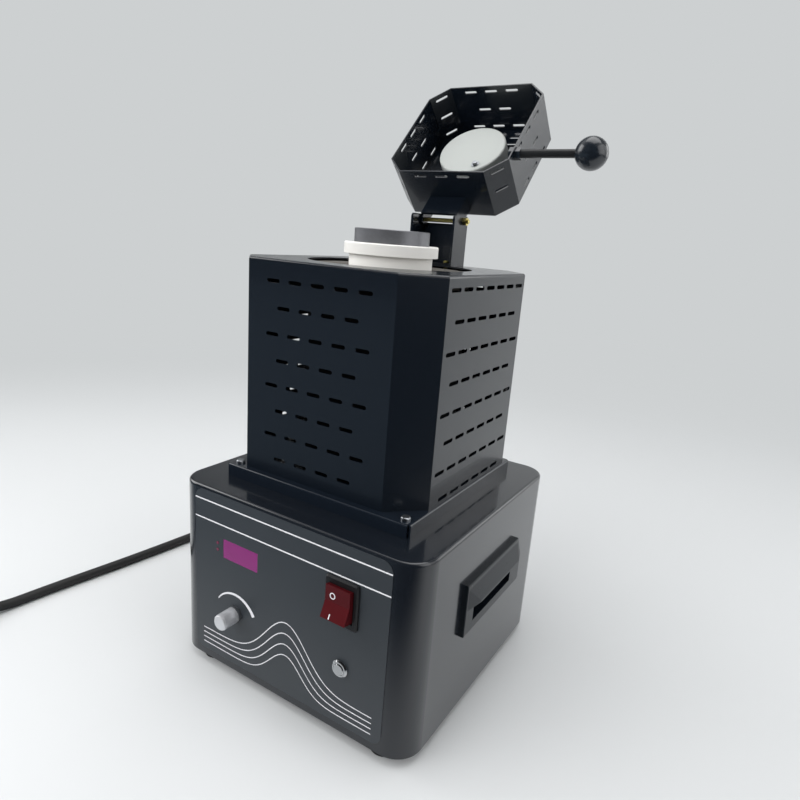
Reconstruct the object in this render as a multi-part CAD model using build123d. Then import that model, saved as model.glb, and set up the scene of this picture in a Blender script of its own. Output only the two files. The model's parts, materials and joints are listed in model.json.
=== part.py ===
from build123d import *
from math import atan2, cos, degrees, pi, radians, sin, sqrt, tan
import os

# Electric gold melting furnace for a workbench. Millimetres, +Z up, the control panel faces -Y.
# The origin is the centre of the base's footprint, on the table.
# The lid stands open on its hinge and the crucible is seated.

# ---- sheet metal and clearances ----
BASE_SHEET = 1.5
FURNACE_SHEET = 1.2
HINGE_SHEET = 2.0
RUNNING_FIT = 0.05          # radial, between a pin and what turns on it
EASY_GAP = 0.4              # between pieces that move past each other
HOLE_CLEARANCE = 0.3        # radial, between a screw and its hole

# ---- base ----
BASE_SIDE = 215.0
BASE_CORNER_RADIUS = 20.0
BASE_TOP_BEND = 2.5
FOOT_HEIGHT = 8.0
FOOT_RADIUS = 11.0
FOOT_X = 81.5
FOOT_Y = 92.5
BASE_HEIGHT = 142.3

# ---- mounting plate between the base and the furnace ----
PLATE_SIDE = 165.0
PLATE_HEIGHT = 9.3
PLATE_CENTRE = (-2.0, 2.0)
PLATE_NOTCH = 4.2            # twice the corner cut, which is wider than the sheet is thick
PLATE_SCREW_INSET = 7.5
PLATE_REAR_INSET = 15.0     # the rear screws hide under the furnace, clear of its wall
PLATE_SCREW_RADIUS = 1.6
PLATE_SCREW_HEAD = 3.4

# ---- furnace body ----
FURNACE_X = -7.2
FURNACE_Y = 12.0
FURNACE_HALF_WIDTH = 85.0
FURNACE_HALF_DEPTH = 86.3
FURNACE_CHAMFER = 23.0
FURNACE_HEIGHT = 156.3
FURNACE_BEND = 2.0
MOUTH_RADIUS = 62.5
SLOT_HEIGHT = 2.8
FRONT_SLOT_LENGTH = 11.4
FRONT_SLOT_PITCH = 19.4
FRONT_ROW_PITCH = 18.45
FRONT_TOP_ROW = 14.7        # below the furnace's top
SIDE_SLOT_LENGTH = 13.3
SIDE_SLOT_PITCH = 17.5
SIDE_ROW_PITCH = 20.6
SIDE_TOP_ROW = 9.1
SLOT_ROWS = 8

# ---- hot zone ----
COLLAR_NECK_RADIUS = 31.8
COLLAR_FLANGE_RADIUS = 35.8
COLLAR_FLANGE_HEIGHT = 8.4
COLLAR_RISE = 14.9          # top of the flange above the furnace's top
COLLAR_BORE = 29.8
CRUCIBLE_RADIUS = 28.5
CRUCIBLE_RISE = 10.2        # above the collar
CRUCIBLE_HEIGHT = 102.0
CRUCIBLE_WALL = 5.5
CRUCIBLE_BOTTOM = 12.0
BOARD_RECESS = 2.5
BOARD_THICKNESS = 11.0
BOARD_RADIUS = 61.0
JACKET_BORE = 47.5
COIL_RADIUS = 36.3
COIL_TUBE_RADIUS = 3.0
COIL_TURNS = 5.5
COIL_PITCH = 12.5
COIL_CLEARANCE_BELOW = 16.0
COIL_LEAD_RADIUS = 42.8
COIL_LEAD_DROP = 15.0       # height over which the tube turns from the winding to upright
COIL_LEAD_LENGTH_IN_BASE = 22.0

# ---- hinge ----
PIN_Y = 86.0
PIN_ABOVE_FURNACE = 36.6
PIN_RADIUS = 1.8
LEFT_EAR_REACH = 19.6       # outer face, from the furnace's middle
RIGHT_EAR_REACH = 22.0
BRACKET_FRONT = 16.5        # in front of the pin
BRACKET_REAR = 7.0          # behind the pin
BRACKET_TOP = 4.4           # above the pin
WEB_BELOW_PIN = 2.4
BRACKET_FOOT = 15.0         # depth of the foot in front of the web
BRACKET_SCREW_X = 10.0      # each side of the furnace's middle
BRACKET_SCREW_HEAD = 2.4

# ---- lid ----
LID_HALF_WIDTH = 55.3
LID_HALF_DEPTH = 57.0
LID_CHAMFER = 15.8
LID_DEPTH = 45.9
LID_OPEN_ANGLE = 134.0
LID_BACK_TO_PIN = 20.5
LID_RIM_BELOW_PIN = 33.2
LID_SLOT_LENGTH = 11.8
LID_SLOT_HEIGHT = 2.4
LID_SLOT_PITCH = 20.0
LID_FIRST_ROW = 4.9
LID_ROW_PITCH = 17.5
PLUG_DISC_RADIUS = 30.0
PLUG_DISC_FACE = 22.6       # above the lid's rim
PLUG_WASHER_RADIUS = 3.6
PLUG_SCREW_HEAD = 2.4
PLUG_SCREW_RADIUS = 1.5
LEAF_HALF_WIDTH = 17.3
LEAF_WEB_BELOW_PIN = 7.2
LEAF_CHEEK_RADIUS = 4.6
LEAF_FLANGE_HEIGHT = 12.0
ROD_RADIUS = 3.3
ROD_STUD_RADIUS = 2.4
ROD_FROM_BACK = 29.2
ROD_ABOVE_RIM = 5.6
ROD_NUT_FLATS = 8.6
BALL_RADIUS = 12.5
BALL_REACH = 60.5           # centre of the ball from the lid's wall

# ---- front panel, measured along X and up from the table ----
OVERLAY_THICKNESS = 0.4
OVERLAY_WIDTH = 175.0
OVERLAY_TOP = 148.0
OVERLAY_BOTTOM = 14.0
OVERLAY_RADIUS = 8.0
UPPER_ROW = 107.2
LOWER_ROW = 58.3
DISPLAY_X = -41.0
DISPLAY_WIDTH = 34.3
DISPLAY_HEIGHT = 15.2
LAMP_X = -63.9
LAMP_RADIUS = 1.3
LAMP_SPACING = 5.4
KNOB_X = -45.0
KNOB_RADIUS = 6.1
KNOB_LENGTH = 13.2
KNOB_FLUTES = 18
SHAFT_RADIUS = 3.0
BUSH_RADIUS = 3.8
KNOB_NUT_FLATS = 11.0
SWITCH_X = 51.3
SWITCH_Z = 107.3
BEZEL_WIDTH = 26.6
BEZEL_HEIGHT = 33.4
BEZEL_PROUD = 2.4
ROCKER_WIDTH = 19.4
ROCKER_HALF_HEIGHT = 11.1
ROCKER_PROUD = 6.3
ROCKER_SWING = 25.0
BUTTON_X = 52.7
BUTTON_BEZEL_RADIUS = 6.3
BUTTON_BEZEL_PROUD = 2.3
BUTTON_BARREL_RADIUS = 5.4
BUTTON_CAP_RADIUS = 4.1
BUTTON_CAP_PROUD = 2.9

# ---- carrying handles ----
HANDLE_PROUD = 3.75         # face of the frame, outside the base's wall
HANDLE_FRONT = -46.0
HANDLE_REAR = 53.5
HANDLE_REAR_TOP = 44.5
HANDLE_BOTTOM = 71.5
HANDLE_TOP = 111.8
HOOD_LIP = 3.0              # lower edge of the hood, outside the frame's face
HOOD_RUN_OUT = 18.0         # length over which the lip dies away at the front
GRIP_FRONT = -33.5
GRIP_REAR = 33.6
GRIP_BOTTOM = 79.0
GRIP_TOP = 92.0
POCKET_DEPTH = 17.0
POCKET_TOP = 105.4
HOOD_THICKNESS = 2.5
HANDLE_WALL = 2.0

# ---- cooling fan in the rear wall ----
FAN_X = 15.0
FAN_Z = 66.0
FAN_SIDE = 80.0
FAN_DEPTH = 25.0
FAN_BORE = 38.0
HUB_RADIUS = 17.0
FAN_BLADES = 7

# ---- mains lead ----
CORD_DIAMETER = 8.5
GLAND_X = -62.0
GLAND_Z = 24.0
GLAND_LENGTH = 16.0
LOOP_OUTER_RADIUS = 56.0
COIL_CENTRE = (GLAND_X - LOOP_OUTER_RADIUS, 216.0)
LOOP_STEP = 9.3             # between the middles of neighbouring turns
LOOPS_PER_LAYER = 2
TAIL_ANGLE = 135.0          # where the lead leaves the coil, past whole turns
PLUG_BODY_LENGTH = 42.0
PLUG_BODY_RADIUS = 15.0

# ---- places that follow from the sizes above ----
BASE_HALF = BASE_SIDE / 2
FRONT = -BASE_HALF
REAR = BASE_HALF
BASE_BOTTOM = FOOT_HEIGHT
BASE_TOP = BASE_BOTTOM + BASE_HEIGHT
PLATE_TOP = BASE_TOP + PLATE_HEIGHT
FURNACE_BOTTOM = PLATE_TOP
FURNACE_TOP = FURNACE_BOTTOM + FURNACE_HEIGHT
FLOOR_TOP = FURNACE_BOTTOM + BASE_SHEET
COLLAR_TOP = FURNACE_TOP + COLLAR_RISE
CRUCIBLE_TOP = COLLAR_TOP + CRUCIBLE_RISE
CRUCIBLE_BASE = CRUCIBLE_TOP - CRUCIBLE_HEIGHT
HEARTH_STEP = CRUCIBLE_BASE - 34.0
BOARD_TOP = FURNACE_TOP - BOARD_RECESS
BOARD_BOTTOM = BOARD_TOP - BOARD_THICKNESS
COIL_BOTTOM = HEARTH_STEP + COIL_CLEARANCE_BELOW
PIN_Z = FURNACE_TOP + PIN_ABOVE_FURNACE
LID_RIM = PIN_Z - LID_RIM_BELOW_PIN
LID_TOP = LID_RIM + LID_DEPTH
LID_BACK = PIN_Y - LID_BACK_TO_PIN
LID_Y = LID_BACK - LID_HALF_DEPTH
OVERLAY_FACE = FRONT - OVERLAY_THICKNESS
PANEL_INSIDE = FRONT + BASE_SHEET
CORD_RADIUS = CORD_DIAMETER / 2


# ---- small helpers ----
def ring(outer, inner, bottom, top, x=0.0, y=0.0):
    """Upright tube between two heights."""
    return Pos(x, y, bottom) * extrude(Circle(outer) - Circle(inner), top - bottom)


def disc(radius, bottom, top, x=0.0, y=0.0):
    """Upright cylinder between two heights."""
    return Pos(x, y, bottom) * extrude(Circle(radius), top - bottom)


def block(low, high):
    """Box from its lowest corner to its highest corner."""
    size = [b - a for a, b in zip(low, high)]
    return Pos(*low) * Box(*size, align=(Align.MIN, Align.MIN, Align.MIN))


def along_y(sketch, start, end, x=0.0, z=0.0):
    """Prism of a sketch drawn in X and Z, from y = start to y = end."""
    plane = Plane(origin=(x, end, z), x_dir=(1, 0, 0), z_dir=(0, -1, 0))
    return extrude(plane * sketch, end - start, dir=(0, -1, 0))


def along_x(sketch, start, end, y=0.0, z=0.0):
    """Prism of a sketch drawn in Y and Z, from x = start to x = end."""
    plane = Plane(origin=(start, y, z), x_dir=(0, 1, 0), z_dir=(1, 0, 0))
    return extrude(plane * sketch, end - start, dir=(1, 0, 0))


def octagon(half_x, half_y, leg):
    """Rectangle with its four corners cut off, centred on the origin."""
    quarter = [(half_x, half_y - leg), (half_x - leg, half_y)]
    top = quarter + [(-x, y) for x, y in reversed(quarter)]
    return Polygon(*top, *[(-x, -y) for x, y in top], align=None)


def slot_rows(length, height, pitch, heights, longest):
    """Staggered rows of round-ended slots: rows of `longest` slots and rows of one fewer."""
    slots = Sketch()
    for row, level in enumerate(heights):
        count = longest - row % 2
        for column in range(count):
            slots += Pos((column - (count - 1) / 2) * pitch, level) * SlotOverall(length, height)
    return slots


def cut_wall(slots, x, y, z, facing, depth):
    """Cutter for a wall whose outward side faces `facing` degrees from +X."""
    outward = (cos(radians(facing)), sin(radians(facing)), 0)
    along = (-outward[1], outward[0], 0)
    return extrude(Plane(origin=(x, y, z), x_dir=along, z_dir=outward) * slots, depth, both=True)


def open_lid(piece):
    """Turn a piece from the closed lid's place to the open one, about the hinge pin."""
    return Pos(0, PIN_Y, PIN_Z) * Rot(-LID_OPEN_ANGLE, 0, 0) * Pos(0, -PIN_Y, -PIN_Z) * piece


def biarc(start, start_direction, end, end_direction):
    """Two tangent arcs between two points with given directions."""
    chord = end - start
    both = start_direction + end_direction
    along = chord.dot(both)
    spread = 2 * (1 - start_direction.dot(end_direction))
    reach = (-along + sqrt(along * along + spread * chord.dot(chord))) / spread
    middle = (start + start_direction * reach + end - end_direction * reach) * 0.5
    first = TangentArc(start, middle, tangent=start_direction)
    return [first, TangentArc(middle, end, tangent=first % 1)]


def group(pieces):
    """Several equal solids kept as one node."""
    return Compound([piece.solid() for piece in pieces])


# ---- base ----
def make_base_housing():
    outer = extrude(RectangleRounded(BASE_SIDE, BASE_SIDE, BASE_CORNER_RADIUS), BASE_HEIGHT)
    outer = fillet(outer.faces().sort_by(Axis.Z)[-1].edges(), BASE_TOP_BEND)
    inner_side = BASE_SIDE - 2 * BASE_SHEET
    inner_radius = BASE_CORNER_RADIUS - BASE_SHEET
    inner = extrude(RectangleRounded(inner_side, inner_side, inner_radius), BASE_HEIGHT - BASE_SHEET)
    housing = Pos(0, 0, BASE_BOTTOM) * (outer - inner)

    wall = (FRONT - 1, PANEL_INSIDE + 1)
    housing -= along_y(Rectangle(DISPLAY_WIDTH, DISPLAY_HEIGHT), *wall, DISPLAY_X, UPPER_ROW)
    for side in (-1, 1):
        lamp = Circle(LAMP_RADIUS)
        housing -= along_y(lamp, *wall, LAMP_X, UPPER_ROW + side * LAMP_SPACING / 2)
    housing -= along_y(Circle(BUSH_RADIUS), *wall, KNOB_X, LOWER_ROW)
    housing -= along_y(Rectangle(*switch_box_size()), *wall, SWITCH_X, SWITCH_Z)
    housing -= along_y(Circle(BUTTON_BARREL_RADIUS), *wall, BUTTON_X, LOWER_ROW)

    for side in (-1, 1):
        inside, outside = sorted((side * (BASE_HALF + 1), side * (BASE_HALF - BASE_SHEET - 1)))
        front, rear, bottom, top = pocket_outside()
        housing -= block((inside, front, bottom), (outside, rear, top))

    back = (REAR - BASE_SHEET - 1, REAR + 1)
    housing -= along_y(Circle(FAN_BORE - 1), *back, FAN_X, FAN_Z)
    housing -= along_y(Circle(CORD_RADIUS + 2), *back, GLAND_X, GLAND_Z)
    for x, y in plate_screw_places():
        housing -= disc(PLATE_SCREW_RADIUS, BASE_TOP - 5, BASE_TOP + 1, x, y)
    for x, y in coil_lead_places():
        housing -= disc(COIL_TUBE_RADIUS + 1, BASE_TOP - 5, BASE_TOP + 1, x, y)
    return housing


def make_base_bottom_plate():
    side = BASE_SIDE - 2 * BASE_SHEET
    plate = extrude(RectangleRounded(side, side, BASE_CORNER_RADIUS - BASE_SHEET), BASE_SHEET)
    vents = Sketch()
    for row in range(-4, 5):
        vents += Pos(0, row * 9) * SlotOverall(70, 3)
    return Pos(0, 0, BASE_BOTTOM) * (plate - extrude(vents, BASE_SHEET))


def make_rubber_feet():
    places = [(x, y) for x in (-FOOT_X, FOOT_X) for y in (-FOOT_Y, FOOT_Y)]
    foot = Cone(FOOT_RADIUS - 1.5, FOOT_RADIUS, FOOT_HEIGHT, align=(Align.CENTER, Align.CENTER, Align.MIN))
    foot -= Cylinder(4, 3, align=(Align.CENTER, Align.CENTER, Align.MIN))
    return group([Pos(x, y, 0) * foot for x, y in places])


# ---- front panel ----
def make_front_overlay():
    height = OVERLAY_TOP - OVERLAY_BOTTOM
    middle = (OVERLAY_TOP + OVERLAY_BOTTOM) / 2
    film = RectangleRounded(OVERLAY_WIDTH, height, OVERLAY_RADIUS)
    film -= Pos(DISPLAY_X, UPPER_ROW - middle) * Rectangle(DISPLAY_WIDTH, DISPLAY_HEIGHT)
    for side in (-1, 1):
        film -= Pos(LAMP_X, UPPER_ROW - middle + side * LAMP_SPACING / 2) * Circle(LAMP_RADIUS)
    film -= Pos(KNOB_X, LOWER_ROW - middle) * Circle(BUSH_RADIUS)
    film -= Pos(SWITCH_X, SWITCH_Z - middle) * Rectangle(*switch_box_size())
    film -= Pos(BUTTON_X, LOWER_ROW - middle) * Circle(BUTTON_BARREL_RADIUS)
    return along_y(film, OVERLAY_FACE, FRONT, 0, middle)


WINDOW_BACK = FRONT + 1.6
MODULE_BACK = WINDOW_BACK + 7.0
BOARD_FRONT = MODULE_BACK


def make_display_window():
    pane = Rectangle(DISPLAY_WIDTH - 0.1, DISPLAY_HEIGHT - 0.1)
    return along_y(pane, OVERLAY_FACE + 0.1, WINDOW_BACK, DISPLAY_X, UPPER_ROW)


def make_display_module():
    return along_y(Rectangle(38, 19), WINDOW_BACK, MODULE_BACK, DISPLAY_X, UPPER_ROW)


def make_indicator_lamps():
    lamps = []
    for side in (-1, 1):
        z = UPPER_ROW + side * LAMP_SPACING / 2
        stem = along_y(Circle(LAMP_RADIUS - 0.05), OVERLAY_FACE - 0.3, BOARD_FRONT, LAMP_X, z)
        lamps.append(stem)
    return group(lamps)


def make_control_board():
    board = along_y(Rectangle(72, 44), BOARD_FRONT, BOARD_FRONT + 1.6, DISPLAY_X - 5, UPPER_ROW)
    for x in (-36, 26):
        for z in (-18, 18):
            board += along_y(Circle(2.5), PANEL_INSIDE, BOARD_FRONT, DISPLAY_X + x, UPPER_ROW + z)
    return board


NUT_BACK = OVERLAY_FACE
NUT_FRONT = NUT_BACK - 2.2
KNOB_BACK = NUT_FRONT - 0.5
KNOB_FRONT = KNOB_BACK - KNOB_LENGTH
POT_FRONT = PANEL_INSIDE
POT_BACK = POT_FRONT + 9.0


def make_potentiometer():
    bush = along_y(Circle(BUSH_RADIUS), NUT_FRONT - 0.2, POT_FRONT, KNOB_X, LOWER_ROW)
    can = along_y(Circle(8.2), POT_FRONT, POT_BACK, KNOB_X, LOWER_ROW)
    tags = along_y(Rectangle(12, 7), POT_FRONT + 2, POT_FRONT + 4, KNOB_X, LOWER_ROW - 10)
    bore = along_y(Circle(SHAFT_RADIUS + RUNNING_FIT), NUT_FRONT - 1, POT_BACK - 2, KNOB_X, LOWER_ROW)
    return bush + can + tags - bore


def make_knob_nut():
    flats = RegularPolygon(KNOB_NUT_FLATS / 2, 6, major_radius=False)
    return along_y(flats - Circle(BUSH_RADIUS), NUT_FRONT, NUT_BACK, KNOB_X, LOWER_ROW)


def make_knob_shaft():
    return along_y(Circle(SHAFT_RADIUS), KNOB_BACK - 9, POT_BACK - 2.4, KNOB_X, LOWER_ROW)


def make_power_knob():
    outline = Circle(KNOB_RADIUS)
    for flute in range(KNOB_FLUTES):
        outline -= Rot(0, 0, flute * 360 / KNOB_FLUTES) * Pos(KNOB_RADIUS + 0.25, 0) * Rectangle(0.8, 0.7)
    body = along_y(outline, KNOB_FRONT + 1.6, KNOB_BACK, KNOB_X, LOWER_ROW)
    nose = along_y(Circle(KNOB_RADIUS - 0.3), KNOB_FRONT, KNOB_FRONT + 1.6, KNOB_X, LOWER_ROW)
    nose = chamfer(nose.faces().sort_by(Axis.Y)[0].edges(), 0.7)
    bore = along_y(Circle(SHAFT_RADIUS), KNOB_BACK - 9, KNOB_BACK, KNOB_X, LOWER_ROW)
    return body + nose - bore


def switch_box_size():
    return ROCKER_WIDTH + 3.4, 2 * ROCKER_HALF_HEIGHT + 6.0


def make_switch_body():
    bezel = along_y(RectangleRounded(BEZEL_WIDTH, BEZEL_HEIGHT, 2.0), OVERLAY_FACE - BEZEL_PROUD,
                    OVERLAY_FACE, SWITCH_X, SWITCH_Z)
    bezel = chamfer(bezel.faces().sort_by(Axis.Y)[0].edges(), 1.0)
    box = along_y(Rectangle(*switch_box_size()), OVERLAY_FACE, FRONT + 20, SWITCH_X, SWITCH_Z)
    mouth = Rectangle(ROCKER_WIDTH + 2 * EASY_GAP, 2 * (ROCKER_HALF_HEIGHT + 1.0))
    well = along_y(mouth, OVERLAY_FACE - BEZEL_PROUD - 1, FRONT + 9, SWITCH_X, SWITCH_Z)
    axle_reach = ROCKER_WIDTH / 2 + 1.3
    axle = along_x(Circle(1.4 + RUNNING_FIT), SWITCH_X - axle_reach, SWITCH_X + axle_reach, FRONT, SWITCH_Z)
    tags = group([along_y(Rectangle(5, 0.8), FRONT + 20, FRONT + 28, SWITCH_X + x, SWITCH_Z + z)
                  for x in (-5, 5) for z in (-8, 8)])
    return bezel + box + tags - well - axle


def make_switch_rocker():
    """Rocker with two flat faces, its upper end pressed in; its axle runs along X."""
    half = ROCKER_SWING / 2
    lift = ROCKER_HALF_HEIGHT * tan(radians(half))
    side = Polygon((-ROCKER_PROUD, 0), (-ROCKER_PROUD - lift, ROCKER_HALF_HEIGHT),
                   (3.0, ROCKER_HALF_HEIGHT - 0.5), (5.5, 4.0), (5.5, -4.0), (3.0, 0.5 - ROCKER_HALF_HEIGHT),
                   (-ROCKER_PROUD - lift, -ROCKER_HALF_HEIGHT), align=None)
    start = SWITCH_X - ROCKER_WIDTH / 2
    rocker = along_x(side, start, start + ROCKER_WIDTH)
    rocker += along_x(Circle(1.4), start - 1.2, start + ROCKER_WIDTH + 1.2)
    return Pos(0, FRONT, SWITCH_Z) * Rot(-half, 0, 0) * rocker


def make_button_bezel():
    face = OVERLAY_FACE - BUTTON_BEZEL_PROUD
    head = along_y(Circle(BUTTON_BEZEL_RADIUS), face, OVERLAY_FACE, BUTTON_X, LOWER_ROW)
    head = chamfer(head.faces().sort_by(Axis.Y)[0].edges(), 1.0)
    barrel = along_y(Circle(BUTTON_BARREL_RADIUS), OVERLAY_FACE, FRONT + 14, BUTTON_X, LOWER_ROW)
    bore = along_y(Circle(BUTTON_CAP_RADIUS + 0.15), face - 1, FRONT + 14, BUTTON_X, LOWER_ROW)
    nut = along_y(RegularPolygon(8, 6, major_radius=False) - Circle(BUTTON_BARREL_RADIUS), PANEL_INSIDE,
                  PANEL_INSIDE + 2.5, BUTTON_X, LOWER_ROW)
    return head + barrel + nut - bore


def make_button_cap():
    face = OVERLAY_FACE - BUTTON_CAP_PROUD
    cap = along_y(Circle(BUTTON_CAP_RADIUS), face, FRONT + 6, BUTTON_X, LOWER_ROW)
    cap = chamfer(cap.faces().sort_by(Axis.Y)[0].edges(), 0.5)
    return cap + along_y(Circle(1.5), FRONT + 6, FRONT + 15, BUTTON_X, LOWER_ROW)


def make_button_contact_block():
    box = along_y(Circle(BUTTON_BARREL_RADIUS), FRONT + 14, FRONT + 28, BUTTON_X, LOWER_ROW)
    box -= along_y(Circle(1.5 + EASY_GAP), FRONT + 13, FRONT + 22, BUTTON_X, LOWER_ROW)
    tags = [along_y(Rectangle(0.8, 3), FRONT + 28, FRONT + 34, BUTTON_X + x, LOWER_ROW) for x in (-3, 3)]
    return box + tags


# ---- carrying handles ----
def pocket_outside():
    """Front, rear, bottom and top of the part of a handle that sits inside the base."""
    return (GRIP_FRONT - HANDLE_WALL, GRIP_REAR + HANDLE_WALL,
            GRIP_BOTTOM - HANDLE_WALL, POCKET_TOP + HANDLE_WALL)


def make_side_handle():
    """Right-hand handle: a flat frame, a hood with a proud lip, and a pocket for the fingers."""
    face = BASE_HALF + HANDLE_PROUD
    outline = Polygon((HANDLE_FRONT, HANDLE_BOTTOM), (HANDLE_REAR, HANDLE_BOTTOM),
                      (HANDLE_REAR, GRIP_TOP + 3), (HANDLE_REAR_TOP, HANDLE_TOP),
                      (HANDLE_FRONT, HANDLE_TOP), align=None)
    frame = along_x(outline, BASE_HALF, face)
    frame = fillet(frame.faces().sort_by(Axis.X)[-1].edges(), 0.8)
    wedge = Polygon((BASE_HALF + 1, GRIP_TOP), (face + HOOD_LIP, GRIP_TOP),
                    (face + HOOD_LIP, GRIP_TOP + 1.5), (face - 0.4, HANDLE_TOP - 1.5),
                    (BASE_HALF + 1, HANDLE_TOP - 1.5), align=None)
    hood = along_y(wedge, HANDLE_FRONT + 1, HANDLE_REAR_TOP - 1)
    run_out = Polygon((face - 0.3, HANDLE_FRONT), (face + HOOD_LIP + 1, HANDLE_FRONT),
                      (face + HOOD_LIP + 1, HANDLE_FRONT + HOOD_RUN_OUT * 1.3), align=None)
    hood -= Pos(0, 0, GRIP_TOP - 1) * extrude(run_out, HANDLE_TOP)

    front, rear, bottom, top = pocket_outside()
    deep = BASE_HALF - POCKET_DEPTH
    tub = block((deep, front, bottom), (BASE_HALF, rear, top))
    inner_corner = (deep + HANDLE_WALL, GRIP_FRONT, GRIP_BOTTOM)
    pocket = block(inner_corner, (face - HOOD_THICKNESS, GRIP_REAR, POCKET_TOP))
    mouth = block(inner_corner, (face + 1, GRIP_REAR, GRIP_TOP))
    return frame + hood + tub - pocket - mouth


# ---- mounting plate ----
def plate_screw_places():
    half = PLATE_SIDE / 2
    across = [PLATE_CENTRE[0] + side * (half - PLATE_SCREW_INSET) for side in (-1, 1)]
    rows = (PLATE_CENTRE[1] - half + PLATE_SCREW_INSET, PLATE_CENTRE[1] + half - PLATE_REAR_INSET)
    return [(x, y) for x in across for y in rows]


def coil_lead_places():
    """Where the coil's two tubes go down: the lower end's, then the upper end's."""
    upper = radians(200)
    return [(FURNACE_X + COIL_RADIUS, FURNACE_Y - COIL_LEAD_DROP),
            (FURNACE_X + COIL_LEAD_RADIUS * cos(upper), FURNACE_Y + COIL_LEAD_RADIUS * sin(upper))]


def make_mount_plate():
    """Tray of folded sheet, open below, with its corners notched for the folds."""
    tray = extrude(Rectangle(PLATE_SIDE, PLATE_SIDE), PLATE_HEIGHT)
    tray = fillet(tray.faces().sort_by(Axis.Z)[-1].edges(), 1.2)
    inside = PLATE_SIDE - 2 * BASE_SHEET
    tray -= extrude(Rectangle(inside, inside), PLATE_HEIGHT - BASE_SHEET)
    corner = PLATE_SIDE / 2
    for x in (-1, 1):
        for y in (-1, 1):
            tray -= Pos(x * corner, y * corner) * Box(PLATE_NOTCH, PLATE_NOTCH, 3 * PLATE_HEIGHT)
    tray = Pos(*PLATE_CENTRE, BASE_TOP) * tray
    for x, y in plate_screw_places():
        tray -= disc(PLATE_SCREW_RADIUS, BASE_TOP, PLATE_TOP + 1, x, y)
    for x, y in coil_lead_places():
        tray -= disc(COIL_TUBE_RADIUS + 1, BASE_TOP, PLATE_TOP + 1, x, y)
    return tray


def make_plate_spacers():
    return group([ring(4.0, PLATE_SCREW_RADIUS, BASE_TOP, PLATE_TOP - BASE_SHEET, x, y)
                  for x, y in plate_screw_places()])


def make_plate_screws():
    screws = []
    for x, y in plate_screw_places():
        head = disc(PLATE_SCREW_HEAD, PLATE_TOP, PLATE_TOP + 2.2, x, y)
        head = fillet(head.faces().sort_by(Axis.Z)[-1].edges(), 1.2)
        screws.append(head + disc(PLATE_SCREW_RADIUS, BASE_TOP - 6, PLATE_TOP, x, y))
    return group(screws)


# ---- furnace body ----
def make_furnace_floor():
    inset = FURNACE_SHEET
    outline = octagon(FURNACE_HALF_WIDTH - inset, FURNACE_HALF_DEPTH - inset, FURNACE_CHAMFER - 0.6 * inset)
    floor = Pos(FURNACE_X, FURNACE_Y, FURNACE_BOTTOM) * extrude(outline, BASE_SHEET)
    for x, y in plate_screw_places():
        floor -= disc(PLATE_SCREW_HEAD + 1, FURNACE_BOTTOM - 1, FLOOR_TOP + 1, x, y)
    for x, y in coil_lead_places():
        floor -= disc(COIL_TUBE_RADIUS + 1, FURNACE_BOTTOM - 1, FLOOR_TOP + 1, x, y)
    return floor


def make_furnace_shell():
    """Eight-sided vented casing with a round mouth in its top."""
    outer = extrude(octagon(FURNACE_HALF_WIDTH, FURNACE_HALF_DEPTH, FURNACE_CHAMFER), FURNACE_HEIGHT)
    outer = fillet(outer.faces().sort_by(Axis.Z)[-1].edges(), FURNACE_BEND)
    inset = FURNACE_SHEET
    hollow = octagon(FURNACE_HALF_WIDTH - inset, FURNACE_HALF_DEPTH - inset, FURNACE_CHAMFER - 0.6 * inset)
    shell = outer - extrude(hollow, FURNACE_HEIGHT - inset)
    shell -= disc(MOUTH_RADIUS, FURNACE_HEIGHT - 5, FURNACE_HEIGHT + 1)

    front_rows = [FURNACE_HEIGHT - FRONT_TOP_ROW - row * FRONT_ROW_PITCH for row in range(SLOT_ROWS)]
    front_slots = slot_rows(FRONT_SLOT_LENGTH, SLOT_HEIGHT, FRONT_SLOT_PITCH, front_rows, 5)
    side_rows = [FURNACE_HEIGHT - SIDE_TOP_ROW - row * SIDE_ROW_PITCH for row in range(SLOT_ROWS)]
    side_slots = slot_rows(SIDE_SLOT_LENGTH, SLOT_HEIGHT, SIDE_SLOT_PITCH, side_rows, 7)
    for side in (-1, 1):
        shell -= cut_wall(front_slots, 0, side * FURNACE_HALF_DEPTH, 0, side * 90, 3)
        shell -= cut_wall(side_slots, side * FURNACE_HALF_WIDTH, 0, 0, 90 - side * 90, 3)
    shell = Pos(FURNACE_X, FURNACE_Y, FURNACE_BOTTOM) * shell
    for x, y in bracket_screw_places():
        shell -= disc(1.5, FURNACE_TOP - 5, FURNACE_TOP + 1, x, y)
    return shell


def make_insulation_jacket():
    return ring(BOARD_RADIUS, JACKET_BORE, FLOOR_TOP, BOARD_BOTTOM, FURNACE_X, FURNACE_Y)


def make_top_board():
    return ring(BOARD_RADIUS, COLLAR_NECK_RADIUS, BOARD_BOTTOM, BOARD_TOP, FURNACE_X, FURNACE_Y)


def make_hearth_block():
    wide = disc(JACKET_BORE, FLOOR_TOP, HEARTH_STEP, FURNACE_X, FURNACE_Y)
    narrow = disc(COLLAR_BORE, HEARTH_STEP, CRUCIBLE_BASE, FURNACE_X, FURNACE_Y)
    hearth = wide + narrow
    for x, y in coil_lead_places():
        hearth -= disc(COIL_TUBE_RADIUS + 0.5, FLOOR_TOP - 1, HEARTH_STEP + 1, x, y)
    return hearth


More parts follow.
